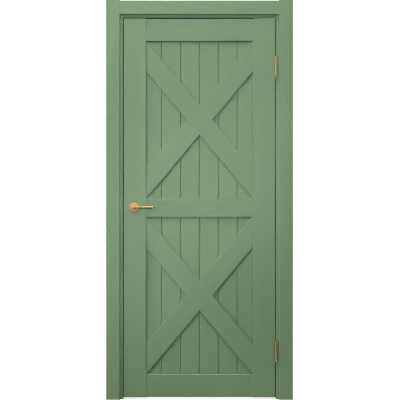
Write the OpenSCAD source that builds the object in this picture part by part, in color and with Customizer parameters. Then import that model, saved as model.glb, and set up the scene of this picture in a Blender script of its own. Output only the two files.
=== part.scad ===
// Interior door with its frame: a planked and braced leaf on two butt hinges,
// a mortise latch with a pair of turned levers, and a rebated frame with flat casings.
// Millimetres. X runs along the leaf towards the hinges, Y into the wall, Z up from the floor.
// The origin is on the floor, under the middle of the leaf's width and thickness.

/* [Leaf] */
// Width of the leaf
leaf_w = 800; // [760:1:900]
// Height of the leaf
leaf_h = 2000; // [1950:1:2100]
// Thickness of the stiles
leaf_t = 40; // [38:0.5:44]
// Room under the leaf
floor_gap = 10; // [5:0.5:15]
// Width of each stile
stile_w = 118; // [110:1:130]
// Height of the top rail
top_rail_h = 117; // [100:1:130]
// How far the top rail lies below the stile ends
top_rail_drop = 2; // [0:0.5:4]
// Height of the lock rail
lock_rail_h = 98; // [80:1:130]
// Height of the bottom rail
bottom_rail_h = 120; // [100:1:160]
// How far the bottom rail lies above the stile ends
bottom_rail_lift = 1; // [0:0.5:4]
// How far the rails lie behind the stile faces
rail_setback = 1.75; // [0.5:0.25:2.5]
// Chamfer on the long edges of stiles, rails and braces
edge_chamfer = 0.75; // [0.5:0.25:2]
// Width of the plank groove in stiles and rails
groove_w = 12; // [11:0.5:14]
// Depth of the plank groove in stiles and rails
groove_d = 12; // [9:0.5:15]
// Diameter of the dowels between rails and stiles
dowel_d = 10; // [8:0.5:10]
// How far a dowel reaches into the stile past its groove
dowel_in_stile = 20; // [12:1:22]
// How far a dowel reaches into the rail past its shoulder
dowel_in_rail = 40; // [25:1:60]
// Distance between the two dowels of a joint
dowel_spacing = 40; // [30:1:44]

/* [Panels] */
// Planks in each panel
plank_count = 6; // [5:1:6]
// Pitch of the planks
plank_pitch = 100; // [90:1:105]
// Thickness of the planks
plank_t = 20; // [18:0.5:22]
// Half the width of a V joint
vee = 3; // [1.5:0.25:3.5]
// Thickness of a plank's own tongue
tongue_t = 6; // [5:0.5:7]
// Length of a plank's own tongue
tongue_l = 6; // [4:0.5:8]
// Width of a brace
brace_w = 103; // [80:1:120]
// How far the braces lie behind the stile faces
brace_setback = 3; // [1.5:0.25:5]

/* [Frame] */
// Gap between leaf and frame
leaf_gap = 4; // [3.5:0.25:5]
// Depth of the jambs into the wall
jamb_depth = 75; // [72:1:120]
// Thickness of the jambs behind the rebate
jamb_t = 30; // [28:1:36]
// How far the stop stands out of the rebate
stop_h = 14; // [13:0.5:18]
// Room between the leaf and the stop
seal_space = 4; // [3:0.25:6]
// Width of the seal groove
seal_groove_w = 3; // [2.5:0.25:4]
// Depth of the seal groove
seal_groove_d = 7; // [5:0.5:9]
// Width of jamb face left showing beside the casing
casing_reveal = 16; // [12:0.5:18]
// Width of the casings
casing_w = 72; // [60:1:90]
// Thickness of the casings
casing_t = 10; // [8:0.5:12]
// Rounding of the casings' front edges
casing_round = 2; // [1:0.25:3]
// How far the side casings rise past the head casing
casing_rise = 6; // [3:0.5:12]
// Thickness of the casings' tongues
casing_tongue_t = 4; // [3:0.25:5]
// Length of the casings' tongues
casing_tongue_l = 12; // [8:0.5:13]
// From a casing's inner edge to its tongue
casing_tongue_in = 4; // [3:0.25:5]
// Height of the lowest wall screw
fixing_low = 140; // [100:5:160]
// Height of the second wall screw
fixing_mid_low = 600; // [500:5:700]
// Height of the third wall screw
fixing_mid_high = 1450; // [1300:5:1500]
// Height of the highest wall screw
fixing_high = 1900; // [1880:5:1925]
// Diameter of the holes for the wall screws
fixing_d = 6; // [5:0.25:7]
// How far the wall screws lie behind the middle of the leaf
fixing_y = 17; // [16:0.5:18]

/* [Hinges] */
// Height of the hinge wings
hinge_h = 100; // [90:1:110]
// Depth of the hinge wings behind the leaf's face
wing_depth = 32; // [30:0.5:33]
// Thickness of the hinge wings
wing_t = 2.5; // [2:0.25:3]
// Gap between closed wings
wing_gap = 1.2; // [1:0.1:1.5]
// Diameter of the hinge barrel
barrel_d = 13; // [12:0.25:13.5]
// Diameter of the hinge pin
pin_d = 7; // [6:0.25:7.5]
// How far the hinge axis stands in front of the leaf's face
axis_out = 7; // [6.75:0.25:8]
// From the leaf's top to the middle of the upper hinge
hinge_from_top = 256; // [220:1:290]
// From the leaf's foot to the middle of the lower hinge
hinge_from_foot = 245; // [230:1:290]
// Height of the hinge tips
tip_h = 6; // [5:0.5:10]

/* [Latch and levers] */
// From the leaf's lock edge to the lever axis
backset = 55; // [52:1:58]
// Height of the lever axis above the leaf's foot
lever_height = 1003; // [980:1:1020]
// How far the latch bolt stands out
bolt_travel = 10; // [8:0.5:11]
// Angle the lever turns through
lever_turn = 45; // [40:1:48]
// Thickness of the latch bolt
bolt_t = 10; // [8:0.5:11]
// Height of the latch bolt
bolt_h = 18; // [14:0.5:20]
// Side of the square spindle
spindle_a = 8; // [7:0.25:8.5]
// Diameter of the roses
rose_d = 52; // [50:0.5:56]
// Height of the roses
rose_h = 10; // [8:0.5:12]
// From the leaf's face to the lever's own axis
lever_reach = 47; // [42:0.5:52]
// From the lever's turning axis to its tip
lever_l = 114; // [105:1:125]
// Diameter of the lever's neck in the rose
neck_d = 17; // [16:0.25:18]
// Diameter of the lever's waist
waist_d = 13.5; // [9:0.25:15]
// Diameter of the lever's grip
grip_d = 17; // [14:0.25:18]
// Diameter of the ring on the lever
ring_d = 17; // [14:0.25:18]

/* [Hidden] */
$fn = 48;
// Slack of a glued or let-in joint, on each side
slack = 0.2;
// Radial clearance of a turning fit
turning = 0.05;
// Clearance between parts that pass each other
passing = 0.4;
// How far a cut runs past the face it opens
over = 1;

// Leaf
leaf_x = leaf_w / 2;
face_y = -leaf_t / 2;
leaf_z0 = floor_gap;
leaf_z1 = floor_gap + leaf_h;
panel_w = leaf_w - 2 * stile_w;
panel_x = panel_w / 2;
rail_t = leaf_t - 2 * rail_setback;
bottom_rail_z0 = leaf_z0 + bottom_rail_lift;
bottom_rail_z1 = bottom_rail_z0 + bottom_rail_h;
top_rail_z1 = leaf_z1 - top_rail_drop;
top_rail_z0 = top_rail_z1 - top_rail_h;
panel_h = (top_rail_z0 - bottom_rail_z1 - lock_rail_h) / 2;
lock_rail_z0 = bottom_rail_z1 + panel_h;
lock_rail_z1 = lock_rail_z0 + lock_rail_h;
let_in_t = groove_w - 2 * slack;
let_in_l = groove_d - 2;
rail_ends = [
    [bottom_rail_z0, bottom_rail_z1],
    [lock_rail_z0, lock_rail_z1],
    [top_rail_z0, top_rail_z1]
];

// Planks
edge_plank_w = (panel_w - (plank_count - 2) * plank_pitch) / 2;

// Braces: each runs corner to corner, with its ends cut upright against the stiles
brace_y0 = face_y + brace_setback;
brace_t = -plank_t / 2 - brace_y0;
brace_angle = acos(brace_w / norm([panel_w, panel_h])) - atan2(panel_w, panel_h);
brace_l = norm([panel_w, panel_h]) + brace_w;

// Frame
rebate_x = leaf_x + leaf_gap;
rebate_z = leaf_z1 + leaf_gap;
jamb_y0 = face_y;
jamb_y1 = face_y + jamb_depth;
stop_y = leaf_t / 2 + seal_space;
casing_x = rebate_x + casing_reveal;
head_casing_z0 = rebate_z + casing_reveal;
side_casing_h = head_casing_z0 + casing_w + casing_rise;
casing_groove_0 = casing_reveal + casing_tongue_in - slack;
casing_groove_1 = casing_groove_0 + casing_tongue_t + 2 * slack;
casing_groove_d = casing_tongue_l + over;
side_tongue_h = rebate_z + casing_groove_0 - over;
jamb_chamfer = edge_chamfer;
seal_groove_0 = stop_h / 2 - seal_groove_w / 2;
seal_groove_1 = seal_groove_0 + seal_groove_w;
seal_bulb_d = seal_space - 0.3;
fixings = [fixing_low, fixing_mid_low, fixing_mid_high, fixing_high];
fixing_sink_d = 2 * fixing_d;

// Wood screws
screw_d = 4;
screw_head_d = 8;
screw_l = 25;
corner_screw_l = 70;
corner_screw_ys = [5, 40];
corner_screw_z = rebate_z + jamb_t / 2;

// Hinges
axis_x = leaf_x + leaf_gap / 2;
axis_y = face_y - axis_out;
barrel_r = barrel_d / 2;
pin_r = pin_d / 2;
wing_recess = wing_gap / 2 + wing_t - leaf_gap / 2;
knuckle_count = 5;
knuckle_h = hinge_h / knuckle_count;
knuckle_ease = 0.8;
upper_hinge_z = leaf_z1 - hinge_from_top;
lower_hinge_z = leaf_z0 + hinge_from_foot;
tip_r = barrel_r + passing;
hinge_screws = [
    for (k = [0:3]) [face_y + wing_depth * (k % 3 == 0 ? 0.86 : 0.6), hinge_h * (k - 1.5) / 4]
];

// Latch
lever_x = -leaf_x + backset;
lever_z = leaf_z0 + lever_height;
forend_t = 3;
forend_w = 22;
forend_h = 140;
forend_screw_z = 58;
case_wall = 1.5;
case_t = 16;
case_h = 64;
case_rear = 25;
case_x0 = -leaf_x + forend_t;
case_x1 = lever_x + case_rear;
tail_t = 6;
tail_h = 52;
tail_arm = 5.5;
tail_bar_x0 = lever_x - 40;
tail_bar_x1 = lever_x - 28;
hub_r = 10.5;
trunnion_r = 8;
// The cam is an involute, so the bolt moves in proportion to the turn
cam_r = bolt_travel / (lever_turn * PI / 180);
cam_start = 14;
cam_land = 3;
cam_steps = 12;
nose_x = lever_x + cam_r * cam_start * PI / 180 + 0.3;
nose_l = 7.5;
nose_z = hub_r + 0.7;
spring_d = 7;
spring_wire = 0.9;
spring_turns = 9;
spring_x0 = lever_x - 12;
spring_x1 = case_x1 - case_wall;
spring_z = -tail_h / 2 + tail_arm / 2;
spigot_d = spring_d - 2 * spring_wire - 2 * passing;
spigot_l = 5;
strike_t = 2;
strike_w = 26;
strike_h = 80;
strike_lip_h = 28;
strike_screw_z = 28;
strike_room = 1.5;
strike_pocket = 14;

// Levers and roses
rose_bolt_d = 4;
rose_bolt_r = 19;
rose_bolt_angles = [-45, 135];
rose_rim_h = 3;
rose_steps = 10;
spindle_l = 2 * (leaf_t / 2 + 30);
spindle_room = 0.1;
neck_waist_d = 14;
elbow_d = 17;
ring_at = 24;
ring_half = 4.5;
waist_end = 49;
grip_start = 56;
grip_end = 95;
arm_steps = 44;
grub_d = 5;
grub_l = 4;
grub_reach = rose_h + 7;

sage = [0.50, 0.60, 0.465];
sage_shade = [0.47, 0.57, 0.44];
oak = [0.76, 0.62, 0.44];
brass = [0.80, 0.63, 0.36];
steel = [0.66, 0.66, 0.67];
rubber = [0.30, 0.33, 0.29];

panels = ["upper", "lower"];
faces = ["front", "back"];

// Puts a piece that is drawn for the front on the back as well
module on_face(face) {
    mirror([0, face == "back" ? 1 : 0, 0]) children();
}

// Extrudes a section drawn in Y and Z along X, centred
module along_x(length) {
    rotate([90, 0, 90]) linear_extrude(length, center = true) children();
}

// Turns a piece drawn down the Z axis so that it goes into the wood along X
module into(direction) {
    rotate([0, -90 * direction, 0]) children();
}

// Countersunk screw with its head's top at the origin, pointing down
module wood_screw(length) {
    head_h = (screw_head_d - screw_d) / 2;
    translate([0, 0, -head_h]) cylinder(d1 = screw_d, d2 = screw_head_d, h = head_h);
    translate([0, 0, -length]) cylinder(d = screw_d, h = length - head_h / 2);
}

// The hole that such a screw sits in
module screw_hole(length) {
    head_h = (screw_head_d - screw_d) / 2;
    room = 2 * slack;
    translate([0, 0, -head_h - slack]) cylinder(d1 = screw_d, d2 = screw_head_d + room, h = head_h + slack);
    translate([0, 0, -length - over]) cylinder(d = screw_d + room, h = length + over);
    cylinder(d = screw_head_d + room, h = over);
}

// Half of the jamb's outline: u runs from the rebate into the wall, v from front to back
function casing_groove(v, way) = [
    [casing_groove_0, v],
    [casing_groove_0, v + way * casing_groove_d],
    [casing_groove_1, v + way * casing_groove_d],
    [casing_groove_1, v]
];

function reversed(list) = [for (i = [len(list) - 1:-1:0]) list[i]];

module jamb_section() {
    c = jamb_chamfer;
    polygon(concat(
        [[0, jamb_y0 + c], [c, jamb_y0]],
        casing_groove(jamb_y0, 1),
        [[jamb_t, jamb_y0], [jamb_t, jamb_y1]],
        reversed(casing_groove(jamb_y1, -1)),
        [[-stop_h + c, jamb_y1], [-stop_h, jamb_y1 - c]],
        [[-stop_h, stop_y + c], [-stop_h + c, stop_y]],
        [[-seal_groove_1, stop_y], [-seal_groove_1, stop_y + seal_groove_d]],
        [[-seal_groove_0, stop_y + seal_groove_d], [-seal_groove_0, stop_y]],
        [[0, stop_y]]
    ));
}

// Stem held in the groove, bulb towards the leaf
module seal_section() {
    stem_w = seal_groove_w - 2 * slack;
    translate([-stop_h / 2 - stem_w / 2, stop_y - seal_bulb_d / 2])
        square([stem_w, seal_groove_d - slack + seal_bulb_d / 2]);
    translate([-stop_h / 2, stop_y - seal_bulb_d / 2]) circle(d = seal_bulb_d);
}

// An upright run of a section on the hinge side, mitred at the head
module upright_run() {
    reach = stop_h + jamb_t;
    difference() {
        translate([rebate_x, 0, 0]) linear_extrude(rebate_z + jamb_t) children();
        translate([rebate_x, jamb_y1 + over, rebate_z])
            rotate([90, 0, 0])
                linear_extrude(jamb_depth + 2 * over)
                    polygon([[-reach, -reach], [reach, reach], [-reach, reach]]);
    }
}

// The run across the head, mitred at both ends
module head_run() {
    reach = stop_h + jamb_t;
    intersection() {
        translate([0, 0, rebate_z])
            rotate([0, -90, 0])
                linear_extrude(2 * (rebate_x + jamb_t), center = true) children();
        translate([0, jamb_y1 + over, rebate_z])
            rotate([90, 0, 0])
                linear_extrude(jamb_depth + 2 * over)
                    polygon([
                        [-rebate_x + reach, -reach], [rebate_x - reach, -reach],
                        [rebate_x + reach, reach], [-rebate_x - reach, reach]
                    ]);
    }
}

// Holes that every upright jamb has: wall screws and the corner screws
module jamb_holes() {
    for (z = fixings)
        translate([rebate_x, fixing_y, z])
            rotate([0, 90, 0]) {
                translate([0, 0, -over]) cylinder(d = fixing_d, h = jamb_t + 2 * over);
                cylinder(d1 = fixing_sink_d, d2 = fixing_d, h = (fixing_sink_d - fixing_d) / 2);
            }
    corner_screw_places() screw_hole(corner_screw_l);
}

module corner_screw_places() {
    for (y = corner_screw_ys)
        translate([rebate_x + jamb_t, y, corner_screw_z])
            into(-1) children();
}

// Seat of a hinge wing: the same recess in jamb and stile
module wing_seat(side, z) {
    x0 = axis_x + side * leaf_gap / 2;
    x1 = x0 + side * wing_recess;
    translate([min(x0, x1) - (side > 0 ? over : 0), face_y - over, z - hinge_h / 2 - slack])
        cube([wing_recess + over, wing_depth + over + slack, hinge_h + 2 * slack]);
}

module hinge_screw_places(side, z) {
    for (p = hinge_screws)
        translate([axis_x + side * wing_gap / 2, p[0], z + p[1]])
            into(side) children();
}

module hinge_jamb() {
    color(sage)
        difference() {
            upright_run() jamb_section();
            jamb_holes();
            for (z = [upper_hinge_z, lower_hinge_z]) {
                wing_seat(1, z);
                hinge_screw_places(1, z) screw_hole(screw_l);
            }
        }
}

module strike_jamb() {
    pocket_t = bolt_t + 2 * strike_room;
    pocket_h = bolt_h + 2 * strike_room;
    color(sage)
        difference() {
            mirror([1, 0, 0])
                difference() {
                    upright_run() jamb_section();
                    jamb_holes();
                }
            strike_form(slack);
            translate([-rebate_x - strike_pocket, -pocket_t / 2, lever_z - pocket_h / 2])
                cube([strike_pocket + over, pocket_t, pocket_h]);
            strike_screw_places() screw_hole(screw_l);
        }
}

module head_jamb() {
    color(sage)
        difference() {
            head_run() jamb_section();
            for (side = [0, 1])
                mirror([side, 0, 0]) corner_screw_places() screw_hole(corner_screw_l);
        }
}

module frame_seal() {
    color(rubber) {
        for (side = [0, 1])
            mirror([side, 0, 0]) upright_run() seal_section();
        head_run() seal_section();
    }
}

// Board section with its face at Y 0 and its front edges rounded
module casing_section() {
    r = casing_round;
    translate([r, 0]) square([casing_w - 2 * r, casing_t]);
    translate([0, r]) square([casing_w, casing_t - r]);
    for (x = [r, casing_w - r])
        translate([x, r]) circle(r);
}

module casing_tongue_section() {
    translate([casing_tongue_in, casing_t - over]) square([casing_tongue_t, casing_tongue_l + over]);
}

// Carries what is drawn for the front side over to the other face of the jambs
module on_frame_face(face) {
    if (face == "front") translate([0, jamb_y0 - casing_t, 0]) children();
    if (face == "back") translate([0, jamb_y1 + casing_t, 0]) mirror([0, 1, 0]) children();
}

module side_casing(face, side) {
    color(sage)
        on_frame_face(face)
            mirror([side == "left" ? 1 : 0, 0, 0])
                translate([casing_x, 0, 0]) {
                    linear_extrude(side_casing_h) casing_section();
                    linear_extrude(side_tongue_h) casing_tongue_section();
                }
}

module head_casing(face) {
    color(sage)
        on_frame_face(face)
            translate([0, 0, head_casing_z0])
                rotate([0, -90, 0])
                    linear_extrude(2 * casing_x, center = true) {
                        casing_section();
                        casing_tongue_section();
                    }
}

// Outline of the strike plate with its lip, grown by the slack of its seat
module strike_form(room) {
    x0 = -rebate_x - strike_t;
    depth = strike_t + (room > 0 ? over : 0);
    w = strike_w / 2 + room;
    h = strike_h / 2 + room;
    lip_h = strike_lip_h / 2 + room;
    lip_y = jamb_y0 + jamb_chamfer;
    translate([x0, -w, lever_z - h]) cube([depth, 2 * w, 2 * h]);
    translate([x0, lip_y, lever_z - lip_h]) cube([depth, -lip_y, 2 * lip_h]);
}

module strike_screw_places() {
    for (side = [-1, 1])
        translate([-rebate_x, 0, lever_z + side * strike_screw_z])
            into(-1) children();
}

module strike_plate() {
    hole_t = bolt_t + 2 * strike_room;
    hole_h = bolt_h + 2 * strike_room;
    color(brass)
        difference() {
            strike_form(0);
            translate([-rebate_x - strike_t - over, -hole_t / 2, lever_z - hole_h / 2])
                cube([strike_t + 2 * over, hole_t, hole_h]);
            strike_screw_places() screw_hole(screw_l);
        }
}

module strike_screws() {
    color(brass) strike_screw_places() wood_screw(screw_l);
}

module corner_screws() {
    color(steel)
        for (side = [0, 1])
            mirror([side, 0, 0]) corner_screw_places() wood_screw(corner_screw_l);
}

// Profile of a hinge tip: a collar and a dome
module hinge_tip() {
    collar_h = tip_h * 0.4;
    dome_h = tip_h - collar_h;
    steps = 8;
    rotate_extrude()
        polygon(concat(
            [[0, 0], [tip_r, 0]],
            [for (i = [0:steps]) [tip_r * cos(90 * i / steps), collar_h + dome_h * sin(90 * i / steps)]]
        ));
}

// Every other knuckle belongs to one wing, starting with the frame's
module knuckle_places(first) {
    for (k = [first:2:knuckle_count - 1])
        translate([0, 0, -hinge_h / 2 + (k + 0.5) * knuckle_h]) children();
}

// One knuckle, with its ends eased so that the joints of the barrel show as fine rings
module knuckle() {
    h = knuckle_h / 2 - slack;
    e = knuckle_ease;
    rotate_extrude()
        polygon([
            [0, -h], [barrel_r - e, -h], [barrel_r, e - h],
            [barrel_r, h - e], [barrel_r - e, h], [0, h]
        ]);
}

// One wing: side 1 is screwed to the frame, side -1 to the leaf
module hinge_wing(side, z) {
    own = side > 0 ? 0 : 1;
    plate_x = side > 0 ? wing_gap / 2 : -wing_gap / 2 - wing_t;
    color(brass)
        difference() {
            translate([axis_x, axis_y, z])
                difference() {
                    union() {
                        translate([plate_x, 0, -hinge_h / 2]) cube([wing_t, axis_out + wing_depth, hinge_h]);
                        knuckle_places(own) knuckle();
                        if (side > 0)
                            translate([0, 0, -hinge_h / 2 + slack]) rotate([180, 0, 0]) hinge_tip();
                    }
                    translate([0, 0, -hinge_h / 2 + slack]) cylinder(r = pin_r, h = hinge_h + over);
                    knuckle_places(1 - own)
                        cylinder(r = barrel_r + passing, h = knuckle_h + 2 * slack, center = true);
                    plate_trim();
                }
            hinge_screw_places(side, z) screw_hole(screw_l);
        }
}

// Takes the plate's ends back level with the end knuckles
module plate_trim() {
    for (end = [0, 1])
        mirror([0, 0, end])
            translate([-barrel_d, -over, hinge_h / 2 - slack])
                cube([2 * barrel_d, axis_out + over, slack + over]);
}

module hinge_pin(z) {
    color(brass)
        translate([axis_x, axis_y, z]) {
            translate([0, 0, -hinge_h / 2 + 2 * slack])
                cylinder(r = pin_r - turning, h = hinge_h - 2 * slack);
            translate([0, 0, hinge_h / 2 - slack]) hinge_tip();
        }
}

module hinge_screw_set(side) {
    color(brass)
        for (z = [upper_hinge_z, lower_hinge_z])
            hinge_screw_places(side, z) wood_screw(screw_l);
}

// Stile section on the hinge side, grooved along its inner edge
module stile_section() {
    c = edge_chamfer;
    y = leaf_t / 2;
    g = groove_w / 2;
    polygon([
        [panel_x, -y + c], [panel_x + c, -y], [leaf_x - c, -y], [leaf_x, -y + c],
        [leaf_x, y - c], [leaf_x - c, y], [panel_x + c, y], [panel_x, y - c],
        [panel_x, g], [panel_x + groove_d, g], [panel_x + groove_d, -g], [panel_x, -g]
    ]);
}

module stile() {
    translate([0, 0, leaf_z0]) linear_extrude(leaf_h) stile_section();
}

// Places for the dowels of one side, drawn along X from the shoulder
module dowel_places() {
    for (ends = rail_ends)
        for (way = [-1, 1])
            translate([panel_x, 0, (ends[0] + ends[1]) / 2 + way * dowel_spacing / 2])
                rotate([0, 90, 0]) children();
}

module dowel_holes() {
    dowel_places()
        translate([0, 0, -dowel_in_rail - slack])
            cylinder(d = dowel_d + 2 * slack, h = dowel_in_rail + groove_d + dowel_in_stile + 2 * slack);
}

module rail_dowels() {
    color(oak)
        for (side = [0, 1])
            mirror([side, 0, 0])
                dowel_places()
                    translate([0, 0, -dowel_in_rail])
                        cylinder(d = dowel_d, h = dowel_in_rail + groove_d + dowel_in_stile);
}

module hinge_stile() {
    color(sage)
        difference() {
            stile();
            dowel_holes();
            for (z = [upper_hinge_z, lower_hinge_z]) {
                wing_seat(-1, z);
                hinge_screw_places(-1, z) screw_hole(screw_l);
            }
        }
}

module lock_stile() {
    spindle_hole_d = 2 * trunnion_r + 2;
    color(sage)
        difference() {
            mirror([1, 0, 0])
                difference() {
                    stile();
                    dowel_holes();
                }
            forend_form(slack);
            case_form(slack);
            translate([lever_x, 0, lever_z])
                rotate([90, 0, 0]) cylinder(d = spindle_hole_d, h = leaf_t + 2 * over, center = true);
            rose_bolt_places() cylinder(d = rose_bolt_d + 2 * slack, h = leaf_t + 2 * over, center = true);
            forend_screw_places() screw_hole(screw_l);
        }
}

// The edge of a rail, from front to back: grooved for planks, or plain at the leaf's end
function rail_edge(z, inward, grooved) =
    let (y = rail_t / 2, g = groove_w / 2, c = edge_chamfer)
    grooved
        ? [
            [-y, z + inward * c], [-y + c, z], [-g, z], [-g, z + inward * groove_d],
            [g, z + inward * groove_d], [g, z], [y - c, z], [y, z + inward * c]
        ]
        : [[-y, z], [y, z]];

module rail(ends, grooved_below, grooved_above) {
    color(sage)
        difference() {
            union() {
                along_x(panel_w)
                    polygon(concat(
                        rail_edge(ends[0], 1, grooved_below),
                        reversed(rail_edge(ends[1], -1, grooved_above))
                    ));
                for (side = [0, 1])
                    mirror([side, 0, 0])
                        translate([panel_x - over, -let_in_t / 2, ends[0] + (grooved_below ? groove_d : 0)])
                            cube([let_in_l + over, let_in_t, tenon_h(ends, grooved_below, grooved_above)]);
            }
            for (side = [0, 1])
                mirror([side, 0, 0]) dowel_holes();
        }
}

function tenon_h(ends, below, above) = ends[1] - ends[0] - (below ? groove_d : 0) - (above ? groove_d : 0);

module top_rail() {
    rail(rail_ends[2], true, false);
}

module lock_rail() {
    rail(rail_ends[1], true, true);
}

module bottom_rail() {
    rail(rail_ends[0], false, true);
}

// Plank edges: a tongue let into the stile, or the tongue and groove of a V joint
function let_in_edge(x, way) =
    let (p = plank_t / 2, h = let_in_t / 2)
    [
        [x, -p], [x, -h], [x + way * let_in_l, -h],
        [x + way * let_in_l, h], [x, h], [x, p]
    ];

function tongue_edge(x) =
    let (p = plank_t / 2, h = tongue_t / 2)
    [
        [x - vee, -p], [x, -p + vee], [x, -h], [x + tongue_l, -h],
        [x + tongue_l, h], [x, h], [x, p - vee], [x - vee, p]
    ];

function socket_edge(x) =
    let (p = plank_t / 2, h = tongue_t / 2 + slack, d = tongue_l + slack)
    [
        [x + vee, -p], [x, -p + vee], [x, -h], [x + d, -h],
        [x + d, h], [x, h], [x, p - vee], [x + vee, p]
    ];

function plank_edge_x(i) = -panel_x + (i == 0 ? 0 : edge_plank_w + (i - 1) * plank_pitch);

module plank(panel, i) {
    z0 = panel == "upper" ? lock_rail_z1 : bottom_rail_z1;
    x0 = plank_edge_x(i - 1) + slack;
    x1 = (i == plank_count ? panel_x : plank_edge_x(i)) - slack;
    cheek = (plank_t - let_in_t) / 2;
    color(sage_shade)
        difference() {
            translate([0, 0, z0 - let_in_l])
                linear_extrude(panel_h + 2 * let_in_l)
                    polygon(concat(
                        i == plank_count ? let_in_edge(x1, 1) : tongue_edge(x1),
                        reversed(i == 1 ? let_in_edge(x0, -1) : socket_edge(x0))
                    ));
            for (side = [0, 1])
                mirror([0, side, 0]) {
                    translate([-leaf_x, let_in_t / 2, z0 - let_in_l - over])
                        cube([leaf_w, cheek + over, let_in_l + over + slack]);
                    translate([-leaf_x, let_in_t / 2, z0 + panel_h - slack])
                        cube([leaf_w, cheek + over, let_in_l + over + slack]);
                }
        }
}

function panel_z(panel) = (panel == "upper" ? lock_rail_z1 : bottom_rail_z1) + panel_h / 2;

// A straight board through the middle of the panel, turned up or down, square edged or chamfered
module brace_board(way, chamfer) {
    y0 = brace_y0;
    y1 = -plank_t / 2;
    w = brace_w / 2;
    intersection() {
        rotate([0, -way * brace_angle, 0])
            along_x(brace_l)
                polygon([
                    [y1, -w], [y0 + chamfer, -w], [y0, -w + chamfer],
                    [y0, w - chamfer], [y0 + chamfer, w], [y1, w]
                ]);
        translate([-panel_x + slack, -leaf_t, -panel_h / 2])
            cube([panel_w - 2 * slack, 2 * leaf_t, panel_h]);
    }
}

// Half of the braces' thickness, as a slab over the whole panel
module lap_slab(outer) {
    y0 = outer ? brace_y0 - over : brace_y0 + brace_t / 2;
    translate([-panel_x, y0, -panel_h / 2])
        cube([panel_w, brace_t / 2 + over, panel_h]);
}

// The falling brace runs over the rising one in a halved joint with flush faces
module brace(panel, face, way) {
    color(sage)
        translate([0, 0, panel_z(panel)])
            on_face(face)
                if (way > 0) rising_brace();
                else falling_brace();
}

module rising_brace() {
    difference() {
        brace_board(1, edge_chamfer);
        intersection() {
            brace_board(-1, 0);
            lap_slab(true);
        }
    }
}

module falling_brace() {
    difference() {
        union() {
            brace_board(-1, edge_chamfer);
            intersection() {
                brace_board(-1, 0);
                brace_board(1, edge_chamfer);
            }
        }
        intersection() {
            brace_board(1, 0);
            lap_slab(false);
        }
    }
}

// Plate on the leaf's edge that the latch is screwed in by
module forend_form(room) {
    w = forend_w + 2 * room;
    h = forend_h + 2 * room;
    translate([-leaf_x - (room > 0 ? over : 0), -w / 2, lever_z - h / 2])
        cube([forend_t + (room > 0 ? over : 0), w, h]);
}

module forend_screw_places() {
    for (side = [-1, 1])
        translate([-leaf_x, 0, lever_z + side * forend_screw_z])
            into(1) children();
}

module latch_forend() {
    hole_t = bolt_t + 2 * passing;
    hole_h = bolt_h + 2 * passing;
    color(brass)
        difference() {
            forend_form(0);
            translate([-leaf_x - over, -hole_t / 2, lever_z - hole_h / 2])
                cube([forend_t + 2 * over, hole_t, hole_h]);
            forend_screw_places() screw_hole(screw_l);
        }
}

module latch_screws() {
    color(brass) forend_screw_places() wood_screw(screw_l);
}

module case_form(room) {
    translate([case_x0 - (room > 0 ? over : 0), -case_t / 2 - room, lever_z - case_h / 2 - room])
        cube([case_x1 - case_x0 + room + (room > 0 ? over : 0), case_t + 2 * room, case_h + 2 * room]);
}

module rose_bolt_places() {
    for (angle = rose_bolt_angles)
        translate([lever_x + rose_bolt_r * cos(angle), 0, lever_z + rose_bolt_r * sin(angle)])
            rotate([90, 0, 0]) children();
}

module latch_case() {
    inner_t = case_t - 2 * case_wall;
    inner_h = case_h - 2 * case_wall;
    color(steel)
        difference() {
            case_form(0);
            translate([case_x0 - over, -inner_t / 2, lever_z - inner_h / 2])
                cube([case_x1 - case_x0 - case_wall + over, inner_t, inner_h]);
            translate([lever_x, 0, lever_z])
                rotate([90, 0, 0]) cylinder(r = trunnion_r, h = case_t + 2 * over, center = true);
            rose_bolt_places() cylinder(d = rose_bolt_d + 2 * slack, h = case_t + 2 * over, center = true);
        }
}

// Point of the cam's involute after the string has come off by an angle
function involute(turn) =
    let (at = 90 - cam_start + turn, off = turn * PI / 180)
    cam_r * [cos(at) + off * sin(at), sin(at) - off * cos(at)];

module cam_outline() {
    last = cam_start + lever_turn;
    tip = involute(last);
    polygon(concat(
        [[involute(0)[0], 0]],
        [for (i = [0:cam_steps]) involute(last * i / cam_steps)],
        [tip - [cam_land, 0], [-hub_r / 2, 0]]
    ));
}

// Hub on two trunnions in the case, with a square hole and the cam that draws the bolt
module latch_follower() {
    inner_t = case_t - 2 * case_wall;
    hub_t = inner_t - 2 * passing;
    a = spindle_a + 2 * spindle_room;
    color(steel)
        translate([lever_x, 0, lever_z])
            difference() {
                union() {
                    rotate([90, 0, 0]) cylinder(r = trunnion_r - turning, h = case_t, center = true);
                    rotate([90, 0, 0]) cylinder(r = hub_r, h = hub_t, center = true);
                    rotate([90, 0, 0]) linear_extrude(tail_t, center = true) cam_outline();
                }
                cube([a, case_t + 2 * over, a], center = true);
            }
}

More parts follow.
